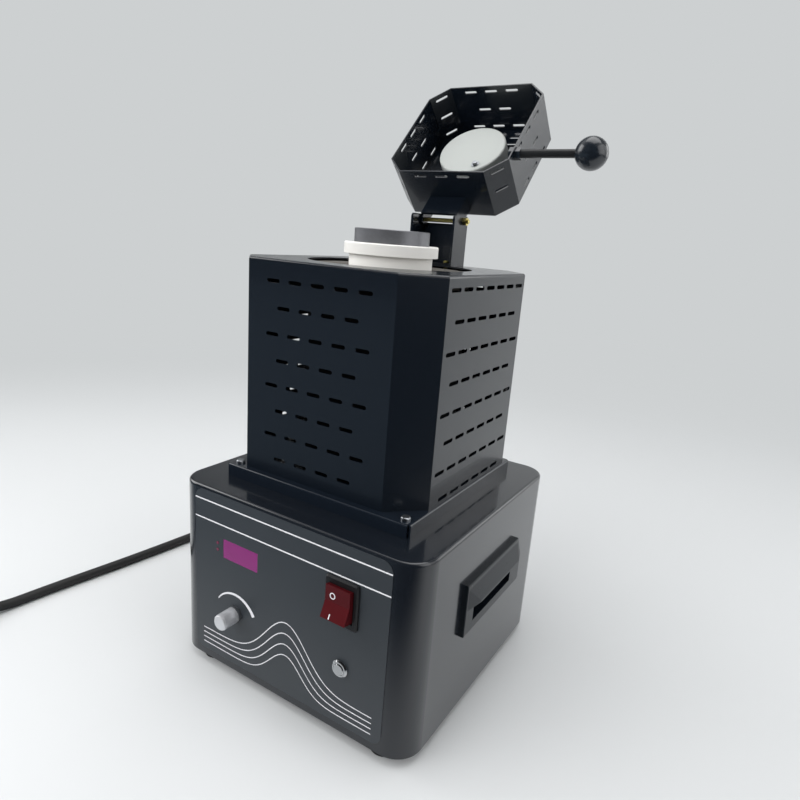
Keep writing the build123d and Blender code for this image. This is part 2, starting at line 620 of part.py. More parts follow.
def make_ceramic_collar():
    """Sleeve round the crucible, with the thick flange that shows above the furnace."""
    flange_bottom = COLLAR_TOP - COLLAR_FLANGE_HEIGHT
    profile = Polygon((COLLAR_BORE, HEARTH_STEP), (COLLAR_NECK_RADIUS, HEARTH_STEP),
                      (COLLAR_NECK_RADIUS, flange_bottom), (COLLAR_FLANGE_RADIUS, flange_bottom),
                      (COLLAR_FLANGE_RADIUS, COLLAR_TOP - 0.8), (COLLAR_FLANGE_RADIUS - 0.8, COLLAR_TOP),
                      (COLLAR_BORE + 0.6, COLLAR_TOP), (COLLAR_BORE, COLLAR_TOP - 0.6), align=None)
    return Pos(FURNACE_X, FURNACE_Y, 0) * revolve(Plane.XZ * profile, Axis.Z)


def make_crucible():
    """Graphite cup with a slightly tapered bore and a rounded bottom."""
    inside = CRUCIBLE_RADIUS - CRUCIBLE_WALL
    floor = CRUCIBLE_BASE + CRUCIBLE_BOTTOM
    bottom_round = 6.0
    with BuildLine() as outline:
        Polyline((0, CRUCIBLE_BASE), (CRUCIBLE_RADIUS - 1, CRUCIBLE_BASE),
                 (CRUCIBLE_RADIUS, CRUCIBLE_BASE + 1), (CRUCIBLE_RADIUS, CRUCIBLE_TOP - 0.5),
                 (CRUCIBLE_RADIUS - 0.5, CRUCIBLE_TOP), (inside + 0.5, CRUCIBLE_TOP),
                 (inside, CRUCIBLE_TOP - 0.5), (inside - 1.5, floor + bottom_round))
        Line((inside - 1.5, floor + bottom_round), (inside - bottom_round, floor))
        Line((inside - bottom_round, floor), (0, floor))
        Line((0, floor), (0, CRUCIBLE_BASE))
    return Pos(FURNACE_X, FURNACE_Y, 0) * revolve(Plane.XZ * make_face(outline.line), Axis.Z)


def make_induction_coil():
    """Copper tube wound round the sleeve, with both ends led down into the base."""
    quarters = round(COIL_TURNS * 4)
    centre = Vector(FURNACE_X, FURNACE_Y, COIL_BOTTOM)
    climb = COIL_PITCH / (2 * pi * COIL_RADIUS)
    up = Vector(0, 0, 1)
    places = []
    for quarter in range(quarters + 1):
        turn = radians(90 * quarter)
        around = Vector(COIL_RADIUS * cos(turn), COIL_RADIUS * sin(turn), COIL_PITCH * quarter / 4)
        places.append((centre + around, Vector(-sin(turn), cos(turn), climb).normalized()))
    lower, upper = [Vector(x, y, 0) for x, y in coil_lead_places()]
    lower_bend = lower + up * (COIL_BOTTOM - COIL_LEAD_DROP)
    upper_bend = upper + up * (places[-1][0].Z - COIL_LEAD_DROP)
    foot = up * (BASE_TOP - COIL_LEAD_LENGTH_IN_BASE)
    stops = [(lower_bend, up)] + places + [(upper_bend, up * -1)]
    edges = [Line(lower + foot, lower_bend)]
    for (start, leaving), (end, arriving) in zip(stops, stops[1:]):
        edges += biarc(start, leaving, end, arriving)
    edges.append(Line(upper_bend, upper + foot))
    path = Wire(edges)
    section = Plane(origin=path @ 0, z_dir=path % 0) * Circle(COIL_TUBE_RADIUS)
    return sweep(section, path=path)


# ---- hinge ----
def bracket_screw_places():
    y = PIN_Y + BRACKET_REAR - HINGE_SHEET - BRACKET_FOOT / 2
    return [(FURNACE_X + side * BRACKET_SCREW_X, y) for side in (-1, 1)]


def make_hinge_bracket():
    """Upright channel: a web behind the pin, an ear each side and a foot turned forward."""
    front = PIN_Y - BRACKET_FRONT
    rear = PIN_Y + BRACKET_REAR
    top = PIN_Z + BRACKET_TOP
    left = FURNACE_X - LEFT_EAR_REACH
    right = FURNACE_X + RIGHT_EAR_REACH
    ears = block((left, front, FURNACE_TOP), (right, rear, top))
    ears = fillet(ears.edges().filter_by(Axis.X).group_by(Axis.Z)[-1], 3.0)
    ears -= block((left + HINGE_SHEET, front - 1, FURNACE_TOP - 1),
                  (right - HINGE_SHEET, rear + 1, top + 1))
    web = block((left, rear - HINGE_SHEET, FURNACE_TOP), (right, rear, PIN_Z - WEB_BELOW_PIN))
    foot = block((left, rear - HINGE_SHEET - BRACKET_FOOT, FURNACE_TOP),
                 (right, rear, FURNACE_TOP + HINGE_SHEET))
    bracket = ears + web + foot
    bracket -= along_x(Circle(PIN_RADIUS), left - 1, right + 1, PIN_Y, PIN_Z)
    for x, y in bracket_screw_places():
        bracket -= disc(1.5, FURNACE_TOP - 1, FURNACE_TOP + HINGE_SHEET + 1, x, y)
    return bracket


def make_bracket_screws():
    top = FURNACE_TOP + HINGE_SHEET
    screws = []
    for x, y in bracket_screw_places():
        head = disc(BRACKET_SCREW_HEAD, top, top + 1.8, x, y)
        head = fillet(head.faces().sort_by(Axis.Z)[-1].edges(), 1.0)
        screws.append(head + disc(1.5, FURNACE_TOP - 5, top, x, y))
    return group(screws)


def make_hinge_pin():
    left = FURNACE_X - LEFT_EAR_REACH
    right = FURNACE_X + RIGHT_EAR_REACH
    shank = along_x(Circle(PIN_RADIUS), left, right + 4.5, PIN_Y, PIN_Z)
    head = along_x(Circle(3.3), left - 2.4, left, PIN_Y, PIN_Z)
    return shank + fillet(head.faces().sort_by(Axis.X)[0].edges(), 1.2)


def make_hinge_nut():
    right = FURNACE_X + RIGHT_EAR_REACH
    flats = RegularPolygon(2.9, 6, major_radius=False) - Circle(PIN_RADIUS)
    return along_x(flats, right, right + 3.0, PIN_Y, PIN_Z)


# ---- lid, drawn closed and then opened about the pin ----
def lid_rows():
    return [LID_FIRST_ROW + row * LID_ROW_PITCH for row in range(3)]


def make_lid_shell():
    outer = extrude(octagon(LID_HALF_WIDTH, LID_HALF_DEPTH, LID_CHAMFER), LID_DEPTH)
    outer = fillet(outer.faces().sort_by(Axis.Z)[-1].edges(), FURNACE_BEND)
    inset = FURNACE_SHEET
    hollow = octagon(LID_HALF_WIDTH - inset, LID_HALF_DEPTH - inset, LID_CHAMFER - 0.6 * inset)
    shell = outer - extrude(hollow, LID_DEPTH - inset)

    walls = slot_rows(LID_SLOT_LENGTH, LID_SLOT_HEIGHT, LID_SLOT_PITCH, lid_rows(), 3)
    hinge_wall = slot_rows(LID_SLOT_LENGTH, LID_SLOT_HEIGHT, LID_SLOT_PITCH, lid_rows()[:1], 3)
    corner_x = LID_HALF_WIDTH - LID_CHAMFER / 2
    corner_y = LID_HALF_DEPTH - LID_CHAMFER / 2
    shell -= cut_wall(walls, 0, -LID_HALF_DEPTH, 0, -90, 3)
    shell -= cut_wall(hinge_wall, 0, LID_HALF_DEPTH, 0, 90, 3)
    for side in (-1, 1):
        shell -= cut_wall(walls, side * LID_HALF_WIDTH, 0, 0, 90 - side * 90, 3)
        for end, rows in ((-1, 3), (1, 2)):
            corner = Sketch()
            for level in lid_rows()[:rows]:
                corner += Pos(0, level) * SlotOverall(LID_SLOT_LENGTH, LID_SLOT_HEIGHT)
            facing = degrees(atan2(end, side))
            shell -= cut_wall(corner, side * corner_x, end * corner_y, 0, facing, 3)

    top_slots = Sketch()
    for level in (27, 36, 45):
        for column in (-1, 0, 1):
            x = column * LID_SLOT_PITCH
            if x * x + level * level > (PLUG_DISC_RADIUS + 2) ** 2:
                for side in (-1, 1):
                    top_slots += Pos(x, side * level) * SlotOverall(LID_SLOT_LENGTH, LID_SLOT_HEIGHT)
    shell -= Pos(0, 0, LID_DEPTH - 3) * extrude(top_slots, 6)

    shell = Pos(FURNACE_X, LID_Y, LID_RIM) * shell
    rod_y, rod_z = rod_place()
    wall_x = FURNACE_X + LID_HALF_WIDTH
    shell -= along_x(Circle(ROD_STUD_RADIUS + HOLE_CLEARANCE), wall_x - 3, wall_x + 1, rod_y, rod_z)
    shell -= disc(PLUG_SCREW_RADIUS, LID_TOP - 3, LID_TOP + 1, *plug_screw_place())
    for x, z in leaf_screw_places():
        shell -= along_y(Circle(1.5), LID_BACK - 3, LID_BACK + 1, x, z)
    return shell


def plug_screw_place():
    return FURNACE_X + 11.0, LID_BACK - 37.5


def make_lid_plug():
    """Thick ceramic disc that covers the crucible when the lid is shut."""
    bottom = LID_RIM + PLUG_DISC_FACE
    plug = disc(PLUG_DISC_RADIUS, bottom, LID_TOP - FURNACE_SHEET, FURNACE_X, LID_Y)
    plug = fillet(plug.faces().sort_by(Axis.Z)[0].edges(), 1.5)
    return plug - disc(PLUG_SCREW_RADIUS, bottom - 1, LID_TOP, *plug_screw_place())


def make_lid_plug_screw():
    """Washer and screw head under the disc, and a nut on top of the lid."""
    x, y = plug_screw_place()
    face = LID_RIM + PLUG_DISC_FACE
    washer = disc(PLUG_WASHER_RADIUS, face - 0.6, face, x, y)
    head = disc(PLUG_SCREW_HEAD, face - 2.4, face - 0.6, x, y)
    head = fillet(head.faces().sort_by(Axis.Z)[0].edges(), 0.6)
    shank = disc(PLUG_SCREW_RADIUS, face, LID_TOP + 2.4, x, y)
    nut = Pos(x, y, LID_TOP) * extrude(RegularPolygon(2.8, 6, major_radius=False), 2.4)
    return washer + head + shank + nut


def leaf_screw_places():
    z = PIN_Z - LEAF_WEB_BELOW_PIN + HINGE_SHEET + LEAF_FLANGE_HEIGHT / 2
    return [(FURNACE_X + side * 9, z) for side in (-1, 1)]


def make_lid_leaf():
    """Channel from the lid's back wall to the pin: web below, two cheeks and a wall flange."""
    left = FURNACE_X - LEAF_HALF_WIDTH
    right = FURNACE_X + LEAF_HALF_WIDTH
    web_bottom = PIN_Z - LEAF_WEB_BELOW_PIN
    flange_top = web_bottom + HINGE_SHEET + LEAF_FLANGE_HEIGHT
    web = block((left, LID_BACK, web_bottom), (right, PIN_Y - 0.5, web_bottom + HINGE_SHEET))
    flange = block((left, LID_BACK, web_bottom), (right, LID_BACK + HINGE_SHEET, flange_top))
    leaf = web + flange
    cheek = Polygon((LID_BACK, web_bottom), (PIN_Y - 0.5, web_bottom), (PIN_Y, PIN_Z - LEAF_CHEEK_RADIUS),
                    (PIN_Y, PIN_Z + LEAF_CHEEK_RADIUS), (LID_BACK, flange_top), align=None)
    cheek += Pos(PIN_Y, PIN_Z) * Circle(LEAF_CHEEK_RADIUS)
    cheek -= Pos(PIN_Y, PIN_Z) * Circle(PIN_RADIUS + RUNNING_FIT)
    for start in (left, right - HINGE_SHEET):
        leaf += along_x(cheek, start, start + HINGE_SHEET)
    for x, z in leaf_screw_places():
        leaf -= along_y(Circle(1.5), LID_BACK - 1, LID_BACK + HINGE_SHEET + 1, x, z)
    return leaf


def make_leaf_screws():
    screws = []
    for x, z in leaf_screw_places():
        outside = LID_BACK + HINGE_SHEET
        head = along_y(Circle(2.7), outside, outside + 1.7, x, z)
        head = fillet(head.faces().sort_by(Axis.Y)[-1].edges(), 0.9)
        screws.append(head + along_y(Circle(1.5), LID_BACK - 4, outside, x, z))
    return group(screws)


def rod_place():
    return LID_BACK - ROD_FROM_BACK, LID_RIM + ROD_ABOVE_RIM


ROD_WALL = FURNACE_X + LID_HALF_WIDTH
ROD_SHOULDER = ROD_WALL + 4.5
BALL_X = ROD_WALL + BALL_REACH


def make_lid_handle_rod():
    y, z = rod_place()
    rod = along_x(Circle(ROD_RADIUS), ROD_SHOULDER, BALL_X - 4, y, z)
    return rod + along_x(Circle(ROD_STUD_RADIUS), ROD_WALL - FURNACE_SHEET - 5, ROD_SHOULDER, y, z)


def make_lid_handle_nuts():
    y, z = rod_place()
    flats = RegularPolygon(ROD_NUT_FLATS / 2, 6, major_radius=False) - Circle(ROD_STUD_RADIUS)
    inner = along_x(flats, ROD_WALL - FURNACE_SHEET - 4, ROD_WALL - FURNACE_SHEET, y, z)
    outer = along_x(flats, ROD_WALL, ROD_SHOULDER, y, z)
    return group([inner, outer])


def make_lid_ball():
    y, z = rod_place()
    ball = Pos(BALL_X, y, z) * Sphere(BALL_RADIUS)
    ball &= block((BALL_X - BALL_RADIUS + 1, y - 20, z - 20), (BALL_X + 20, y + 20, z + 20))
    return ball - along_x(Circle(ROD_RADIUS), BALL_X - 20, BALL_X - 4, y, z)


# ---- cooling fan ----
FAN_BACK = REAR - BASE_SHEET
FAN_FRONT = FAN_BACK - FAN_DEPTH
ROTOR_FRONT = FAN_FRONT + 4.0
ROTOR_BACK = FAN_BACK - 2.0


def make_fan_frame():
    outline = RectangleRounded(FAN_SIDE, FAN_SIDE, 4) - Circle(FAN_BORE)
    frame = along_y(outline, FAN_FRONT, FAN_BACK, FAN_X, FAN_Z)
    hub = along_y(Circle(HUB_RADIUS), FAN_FRONT, FAN_FRONT + 3, FAN_X, FAN_Z)
    arm = Pos(0, (HUB_RADIUS + FAN_BORE) / 2) * Rectangle(4, FAN_BORE - HUB_RADIUS + 3)
    for turn in range(4):
        hub += along_y(Rot(0, 0, 45 + 90 * turn) * arm, FAN_FRONT, FAN_FRONT + 3, FAN_X, FAN_Z)
    axle = along_y(Circle(1.5), FAN_FRONT + 3, ROTOR_BACK - 4, FAN_X, FAN_Z)
    return frame + hub + axle


def make_fan_rotor():
    hub = along_y(Circle(HUB_RADIUS), ROTOR_FRONT, ROTOR_BACK, FAN_X, FAN_Z)
    reach = FAN_BORE - 1.2
    blade = Pos(0, 0, (HUB_RADIUS + reach) / 2) * Rot(0, 0, 38) * Box(1.6, 19, reach - HUB_RADIUS + 4)
    blade = blade & along_y(Circle(reach), -7.5, 7.5)
    rotor = hub
    middle = (ROTOR_FRONT + ROTOR_BACK) / 2
    for turn in range(FAN_BLADES):
        rotor += Pos(FAN_X, middle, FAN_Z) * Rot(0, 360 / FAN_BLADES * turn, 0) * blade
    return rotor - along_y(Circle(1.5 + RUNNING_FIT), ROTOR_FRONT - 1, ROTOR_BACK - 3.5, FAN_X, FAN_Z)


def make_fan_guard():
    """Finger guard of three rings on a cross, screwed on outside the rear wall."""
    guard = Circle(11)
    for radius in (20, 29, 38):
        guard += Circle(radius + 1.2) - Circle(radius - 1.2)
    spokes = Rectangle(2.6, 98) + Rectangle(98, 2.6)
    spokes = Rot(0, 0, 45) * spokes
    guard += spokes
    for turn in range(4):
        eye = Rot(0, 0, 45 + 90 * turn) * Pos(50.5, 0)
        guard += eye * Circle(4)
        guard -= eye * Circle(1.8)
    return along_y(guard, REAR, REAR + 1.8, FAN_X, FAN_Z)


# ---- power electronics inside the base ----
BOARD_LEVEL = 24.0
BOARD_X = (-92.0, 60.0)
BOARD_Y = (-80.0, 40.0)
PCB = 1.6


def make_board_standoffs():
    places = [(x, y) for x in (BOARD_X[0] + 6, BOARD_X[1] - 6) for y in (BOARD_Y[0] + 6, BOARD_Y[1] - 6)]
    return group([disc(3.5, BASE_BOTTOM + BASE_SHEET, BOARD_LEVEL, x, y) for x, y in places])


def make_power_board():
    return block((BOARD_X[0], BOARD_Y[0], BOARD_LEVEL), (BOARD_X[1], BOARD_Y[1], BOARD_LEVEL + PCB))


def make_heat_sink():
    """Finned bar that stands in the fan's draught."""
    floor = BOARD_LEVEL + PCB
    sink = block((-5, -50, floor), (50, 36, floor + 6))
    for fin in range(8):
        x = -5 + fin * 53 / 7
        sink += block((x, -50, floor + 5), (x + 2, 36, floor + 40))
    return sink


def make_power_transistors():
    floor = BOARD_LEVEL + PCB
    return group([block((-5 - 5, y, floor), (-5, y + 16, floor + 21)) for y in (-44, -18, 8)])


def make_capacitors():
    floor = BOARD_LEVEL + PCB
    cans = []
    for y in (-62, -34, -6):
        can = disc(12, floor, floor + 38, -76, y)
        cans.append(fillet(can.faces().sort_by(Axis.Z)[-1].edges(), 1.5))
    return group(cans)


def make_transformer_core():
    floor = BOARD_LEVEL + PCB
    core = block((-52, -62, floor), (-18, -12, floor + 42))
    window = block((-53, -54, floor + 8), (-17, -20, floor + 34))
    middle_limb = block((-52, -42, floor), (-18, -32, floor + 42))
    return core - window + middle_limb


def make_transformer_winding():
    floor = BOARD_LEVEL + PCB
    bobbin = block((-60, -53.7, floor + 8.3), (-10, -20.3, floor + 33.7))
    return bobbin - block((-52, -42, floor), (-18, -32, floor + 42))


def make_terminal_block():
    """Insulating block under the base's top that clamps the coil's tubes."""
    top = BASE_TOP - BASE_SHEET
    piece = block((FURNACE_X - 52, FURNACE_Y - 28, top - 18), (FURNACE_X + 50, FURNACE_Y, top))
    for x, y in coil_lead_places():
        piece -= disc(COIL_TUBE_RADIUS, top - 19, top + 1, x, y)
    return piece


# ---- mains lead ----
def make_cord_gland():
    flange = along_y(RegularPolygon(9, 6, major_radius=False), REAR, REAR + 5, GLAND_X, GLAND_Z)
    neck = along_y(Circle(CORD_RADIUS + 2), REAR - 8, REAR, GLAND_X, GLAND_Z)
    cap = along_y(Circle(8), REAR + 5, REAR + GLAND_LENGTH, GLAND_X, GLAND_Z)
    cap = fillet(cap.faces().sort_by(Axis.Y)[-1].edges(), 2.5)
    locknut = along_y(RegularPolygon(9, 6, major_radius=False), REAR - BASE_SHEET - 4, REAR - BASE_SHEET,
                      GLAND_X, GLAND_Z)
    bore = along_y(Circle(CORD_RADIUS), REAR - 20, REAR + 30, GLAND_X, GLAND_Z)
    return flange + neck + cap + locknut - bore


# The lead's line. It lies on the table except where it drops from the gland.
LEAD_IN = [(GLAND_X, REAR - 6, GLAND_Z), (GLAND_X, 142, GLAND_Z), (GLAND_X, 176, CORD_RADIUS),
           (COIL_CENTRE[0] + LOOP_OUTER_RADIUS, COIL_CENTRE[1], CORD_RADIUS)]


def loop_point(angle):
    """Middle of the wound lead after `angle` degrees: spiral in, climb, spiral out."""
    innermost = 360.0 * LOOPS_PER_LAYER
    climb = 180.0
    radius = LOOP_OUTER_RADIUS - LOOP_STEP / 360.0 * (innermost - abs(angle - innermost))
    climbed = min(1.0, max(0.0, (angle - innermost + climb / 2) / climb))
    rise = (1 - cos(pi * climbed)) / 2
    turn = radians(angle)
    x = COIL_CENTRE[0] + radius * cos(turn)
    y = COIL_CENTRE[1] + radius * sin(turn)
    return Vector(x, y, CORD_RADIUS + LOOP_STEP * rise)


LOOP_END = 360.0 * (2 * LOOPS_PER_LAYER - 1) + TAIL_ANGLE


def loop_direction(angle):
    """Direction of the wound lead; its first point runs straight on from the lead-in."""
    if angle == 0:
        return Vector(0, 1, 0)
    ahead = loop_point(min(angle + 0.5, LOOP_END))
    return (ahead - loop_point(angle - 0.5)).normalized()


def wound_path():
    quarters = round(LOOP_END / 90)
    angles = [LOOP_END * step / quarters for step in range(quarters + 1)]
    arcs = []
    for low, high in zip(angles, angles[1:]):
        arcs += biarc(loop_point(low), loop_direction(low), loop_point(high), loop_direction(high))
    return arcs


def least_gap(points, reach):
    """Least gap between parts of one tube that are more than `reach` apart along it."""
    travelled = [0.0]
    for low, high in zip(points, points[1:]):
        travelled.append(travelled[-1] + (high - low).length)
    least = 1e9
    for first, low in enumerate(points):
        for second in range(first + 1, len(points)):
            if travelled[second] - travelled[first] > reach:
                least = min(least, (points[second] - low).length)
    return least - CORD_DIAMETER


def tail_points():
    """From the coil down to the table, round the base's left side and forward to the plug."""
    start = loop_point(LOOP_END)
    away = loop_direction(LOOP_END)
    over = start + away * 40
    landed = start + away * 88
    return [tuple(start), tuple(over), (landed.X, landed.Y, CORD_RADIUS), (-232, 112, CORD_RADIUS),
            (-242, 30, CORD_RADIUS), (-249, -48, CORD_RADIUS), (-260, -128, CORD_RADIUS),
            (-264, -172, CORD_RADIUS), (-265.5, -206, PLUG_BODY_RADIUS), (-266.5, -240, PLUG_BODY_RADIUS)]


def rounded_run(points):
    """Straight runs joined by tangent arcs that take most of the shorter run."""
    radii = []
    for before, corner, after in zip(points, points[1:], points[2:]):
        a = Vector(*corner) - Vector(*before)
        b = Vector(*after) - Vector(*corner)
        half_turn = radians(a.get_angle(b)) / 2
        radii.append(0.45 * min(a.length, b.length) / tan(half_turn))
    print("bend radii, mm:", [round(radius) for radius in radii])
    return FilletPolyline(*points, radius=radii)


def cord_tube(path, name):
    section = Plane(origin=path @ 0, z_dir=path % 0) * Circle(CORD_RADIUS)
    tube = sweep(section, path=path)
    expected = pi * CORD_RADIUS ** 2 * path.length
    print(name, "length", round(path.length), "mm, volume over section times length",
          round(tube.volume / expected, 4))
    return tube


def make_lead_in():
    return cord_tube(rounded_run(LEAD_IN), "lead-in")


def make_wound_lead():
    path = Wire(wound_path())
    samples = [path @ (step / 700) for step in range(701)]
    print("least gap between turns, mm:", round(least_gap(samples, 60), 2))
    return cord_tube(path, "coil")


def make_lead_run():
    return cord_tube(rounded_run(tail_points()), "run")


def plug_frame():
    """Where the lead enters the plug and which way the plug points; its body lies on the table."""
    points = tail_points()
    end = Vector(*points[-1])
    ahead = (end - Vector(*points[-2])).normalized()
    return end, ahead


def make_mains_plug():
    end, ahead = plug_frame()
    small = Plane(origin=tuple(end - ahead * 6), z_dir=ahead) * Circle(CORD_RADIUS + 1.5)
    wide = Plane(origin=tuple(end + ahead * 16), z_dir=ahead) * Circle(PLUG_BODY_RADIUS)
    face = Plane(origin=tuple(end + ahead * PLUG_BODY_LENGTH), z_dir=ahead) * Circle(PLUG_BODY_RADIUS)
    body = loft([small, wide]) + loft([wide, face])
    return body - lead_hole(end, ahead) - plug_pin_solids()


def lead_hole(end, ahead):
    start = end - ahead * 12
    return extrude(Plane(origin=tuple(start), z_dir=ahead) * Circle(CORD_RADIUS), 12)


def plug_pin_solids():
    end, ahead = plug_frame()
    face = end + ahead * PLUG_BODY_LENGTH
    sideways = ahead.cross(Vector(0, 0, 1))
    pins = Part()
    for side in (-1, 1):
        root = face + sideways * (side * 9.5) - ahead * 12
        pins += extrude(Plane(origin=tuple(root), z_dir=ahead) * Circle(2.4), 12 + 19)
    return pins


def make_plug_pins():
    return group(plug_pin_solids().solids())


# ---- write one file per piece ----
PARTS = {
    "base_housing": make_base_housing,
    "base_bottom_plate": make_base_bottom_plate,
    "rubber_feet": make_rubber_feet,
    "front_overlay": make_front_overlay,
    "display_window": make_display_window,
    "display_module": make_display_module,
    "indicator_lamps": make_indicator_lamps,
    "control_board": make_control_board,
    "potentiometer": make_potentiometer,
    "knob_nut": make_knob_nut,
    "knob_shaft": make_knob_shaft,
    "power_knob": make_power_knob,
    "switch_body": make_switch_body,
    "switch_rocker": make_switch_rocker,
    "button_bezel": make_button_bezel,
    "button_cap": make_button_cap,
    "button_contact_block": make_button_contact_block,
    "side_handle_right": make_side_handle,
    "side_handle_left": lambda: mirror(make_side_handle(), about=Plane.YZ),
    "mount_plate": make_mount_plate,
    "plate_spacers": make_plate_spacers,
    "plate_screws": make_plate_screws,
    "furnace_floor": make_furnace_floor,
    "furnace_shell": make_furnace_shell,
    "insulation_jacket": make_insulation_jacket,
    "top_board": make_top_board,
    "hearth_block": make_hearth_block,
    "ceramic_collar": make_ceramic_collar,
    "crucible": make_crucible,
    "induction_coil": make_induction_coil,
    "hinge_bracket": make_hinge_bracket,
    "bracket_screws": make_bracket_screws,
    "hinge_pin": make_hinge_pin,
    "hinge_nut": make_hinge_nut,
    "lid_shell": lambda: open_lid(make_lid_shell()),
    "lid_plug": lambda: open_lid(make_lid_plug()),
    "lid_plug_screw": lambda: open_lid(make_lid_plug_screw()),
    "lid_leaf": lambda: open_lid(make_lid_leaf()),
    "leaf_screws": lambda: open_lid(make_leaf_screws()),
    "lid_handle_rod": lambda: open_lid(make_lid_handle_rod()),
    "lid_handle_nuts": lambda: open_lid(make_lid_handle_nuts()),
    "lid_ball": lambda: open_lid(make_lid_ball()),
    "fan_frame": make_fan_frame,
    "fan_rotor": make_fan_rotor,
    "fan_guard": make_fan_guard,
    "board_standoffs": make_board_standoffs,
    "power_board": make_power_board,
    "heat_sink": make_heat_sink,
    "power_transistors": make_power_transistors,
    "capacitors": make_capacitors,
    "transformer_core": make_transformer_core,
    "transformer_winding": make_transformer_winding,
    "terminal_block": make_terminal_block,
    "cord_gland": make_cord_gland,
    "cord_lead_in": make_lead_in,
    "cord_coil": make_wound_lead,
    "cord_run": make_lead_run,
    "mains_plug": make_mains_plug,
    "plug_pins": make_plug_pins,
}

os.makedirs("parts", exist_ok=True)
for name, make in PARTS.items():
    piece = make()
    piece.label = name
    export_step(piece, f"parts/{name}.step")
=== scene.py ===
import json
from math import cos, exp, pi, radians, sin

import bmesh
import bpy
from mathutils import Matrix, Vector


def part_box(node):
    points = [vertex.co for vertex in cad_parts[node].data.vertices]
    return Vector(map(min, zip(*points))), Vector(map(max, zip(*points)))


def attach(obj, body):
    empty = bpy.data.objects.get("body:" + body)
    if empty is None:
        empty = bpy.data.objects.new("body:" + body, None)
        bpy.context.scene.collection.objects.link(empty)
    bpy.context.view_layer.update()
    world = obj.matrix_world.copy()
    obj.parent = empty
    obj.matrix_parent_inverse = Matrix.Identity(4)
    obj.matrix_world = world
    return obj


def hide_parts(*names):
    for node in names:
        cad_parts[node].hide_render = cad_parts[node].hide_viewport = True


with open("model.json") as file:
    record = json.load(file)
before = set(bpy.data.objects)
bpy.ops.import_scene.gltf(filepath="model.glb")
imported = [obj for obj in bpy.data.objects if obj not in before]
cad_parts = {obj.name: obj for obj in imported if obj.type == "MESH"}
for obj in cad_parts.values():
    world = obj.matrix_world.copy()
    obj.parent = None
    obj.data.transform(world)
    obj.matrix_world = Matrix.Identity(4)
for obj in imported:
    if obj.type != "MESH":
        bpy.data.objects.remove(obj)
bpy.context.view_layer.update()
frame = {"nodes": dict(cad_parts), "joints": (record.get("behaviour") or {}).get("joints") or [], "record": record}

# ---- places read from the frame ----
PANEL_LOW, PANEL_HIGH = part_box("front_overlay")
PANEL_Y = PANEL_LOW[1]
KNOB_LOW, KNOB_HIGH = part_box("power_knob")
KNOB_X = (KNOB_LOW[0] + KNOB_HIGH[0]) / 2
JOINTS = {joint["name"]: joint for joint in frame["joints"]}

# ---- the photograph's camera ----
CAMERA_PLACE = (0.25447, -0.39272, 0.33736)
CAMERA_AZIMUTH = 31.07
CAMERA_ELEVATION = 14.91
CAMERA_ROLL = 4.36
CAMERA_LENS = 27.70

# ---- the stage: what the camera sees behind the furnace, and what reflections see in front ----
BACKDROP_SEEN = "cdd0d1"
WORLD_COLOUR = (0.93, 0.94, 0.95, 1)
WORLD_SEEN = 0.66
WORLD_FRONT = 0.02
WORLD_REAR = 0.80
ROOM_RIGHT = (0.008, 0.011, 0.016, 1)
ROOM_LEFT = (0.15, 0.19, 0.23, 1)

# ---- the mains lead, in metres: the same route as the solids' ----
CORD_DIAMETER = 0.0085
CORD_RADIUS = CORD_DIAMETER / 2
PLUG_RADIUS = 0.015
GLAND_X = -0.062
GLAND_Z = 0.024
GLAND_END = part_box("cord_gland")[1][1]
LOOP_OUTER_RADIUS = 0.056
LOOP_CENTRE = (GLAND_X - LOOP_OUTER_RADIUS, 0.216)
LOOP_STEP = 0.0093
LOOPS_PER_LAYER = 2
TAIL_ANGLE = 135.0
LOOP_END = 360.0 * (2 * LOOPS_PER_LAYER - 1) + TAIL_ANGLE
POINTS_PER_TURN = 16


# ---- camera, floor and light ----
def fade(nodes, start, end, low=0.0, high=1.0):
    """Node that eases from `low` at `start` to `high` at `end`."""
    node = nodes.new("ShaderNodeMapRange")
    node.interpolation_type = "SMOOTHSTEP"
    node.inputs["From Min"].default_value = start
    node.inputs["From Max"].default_value = end
    node.inputs["To Min"].default_value = low
    node.inputs["To Max"].default_value = high
    return node


def make_camera():
    azimuth = radians(CAMERA_AZIMUTH)
    elevation = radians(CAMERA_ELEVATION)
    roll = radians(CAMERA_ROLL)
    back = Vector((sin(azimuth) * cos(elevation), -cos(azimuth) * cos(elevation), sin(elevation)))
    level_right = (-back).cross(Vector((0, 0, 1))).normalized()
    level_up = level_right.cross(-back)
    right = level_right * cos(roll) + level_up * sin(roll)
    up = level_up * cos(roll) - level_right * sin(roll)
    data = bpy.data.cameras.new("camera")
    data.sensor_width = 36
    data.lens = CAMERA_LENS
    data.clip_start = 0.01
    data.clip_end = 50
    camera = bpy.data.objects.new("camera", data)
    bpy.context.collection.objects.link(camera)
    turn = Matrix((right, up, back)).transposed().to_4x4()
    camera.matrix_world = Matrix.Translation(CAMERA_PLACE) @ turn
    bpy.context.scene.camera = camera


def add_light(name, place, aim, size, power, colour=(1, 1, 1)):
    data = bpy.data.lights.new(name, "AREA")
    data.shape = "RECTANGLE"
    data.size, data.size_y = size
    data.energy = power
    data.color = colour
    light = bpy.data.objects.new(name, data)
    light.location = place
    direction = Vector(aim) - Vector(place)
    light.rotation_euler = direction.to_track_quat("-Z", "Y").to_euler()
    bpy.context.collection.objects.link(light)
    return light


